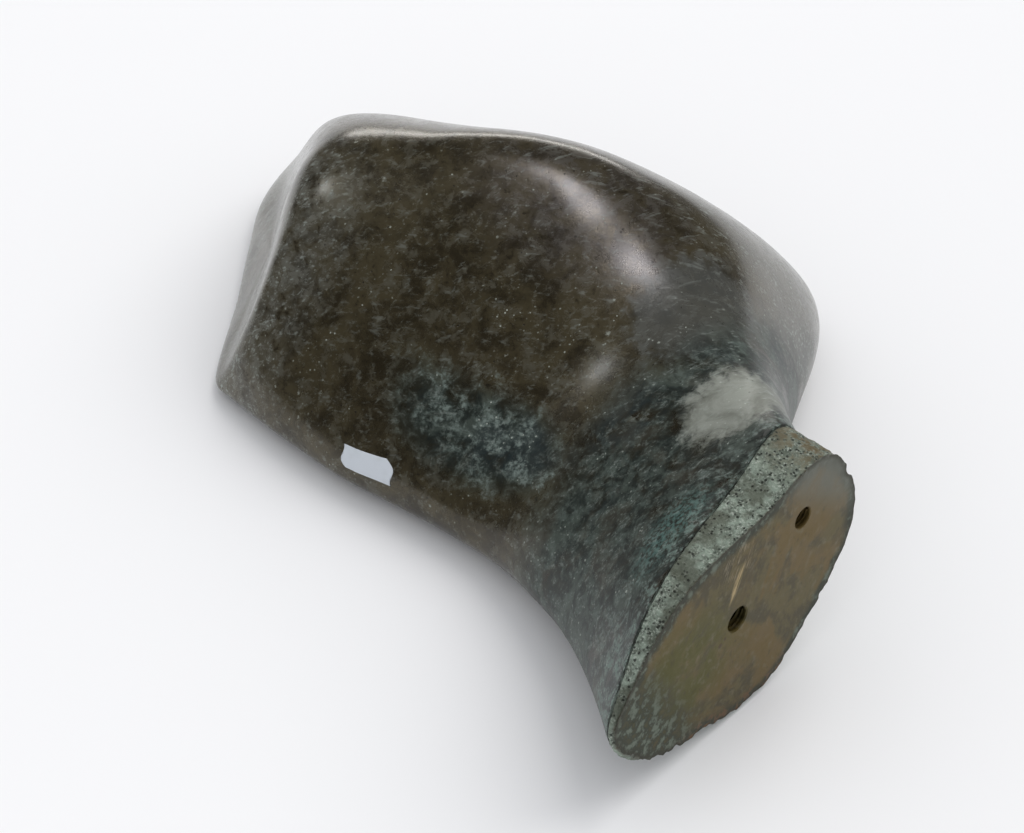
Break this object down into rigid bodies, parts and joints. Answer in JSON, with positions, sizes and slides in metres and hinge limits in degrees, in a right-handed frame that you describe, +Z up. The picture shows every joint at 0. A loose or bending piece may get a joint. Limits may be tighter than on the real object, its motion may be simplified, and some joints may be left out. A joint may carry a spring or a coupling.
{
  "type": "cleat horn",
  "caption": "Hollow cast bronze cleat horn with a rounded wedge-shaped head, waisted neck and ground foot plate.",
  "frame": {"origin": "centre of the main screw hole at its mouth in the ground foot face", "axes": "+X out of the foot face, +Z up as the horn lies on its flat underside"},
  "size_m": [0.3313, 0.2575, 0.098],
  "materials": {
    "cast_bronze": "dark patina, worn",
    "ground_bronze": "ground, tarnished",
    "braze": "rough, verdigris",
    "paper": "matte paper"
  },
  "bodies": {
    "root": {"horn_casting": "cast_bronze", "foot_plate": "ground_bronze", "seam_braze": "braze", "price_label": "paper"}
  },
  "joints": []
}
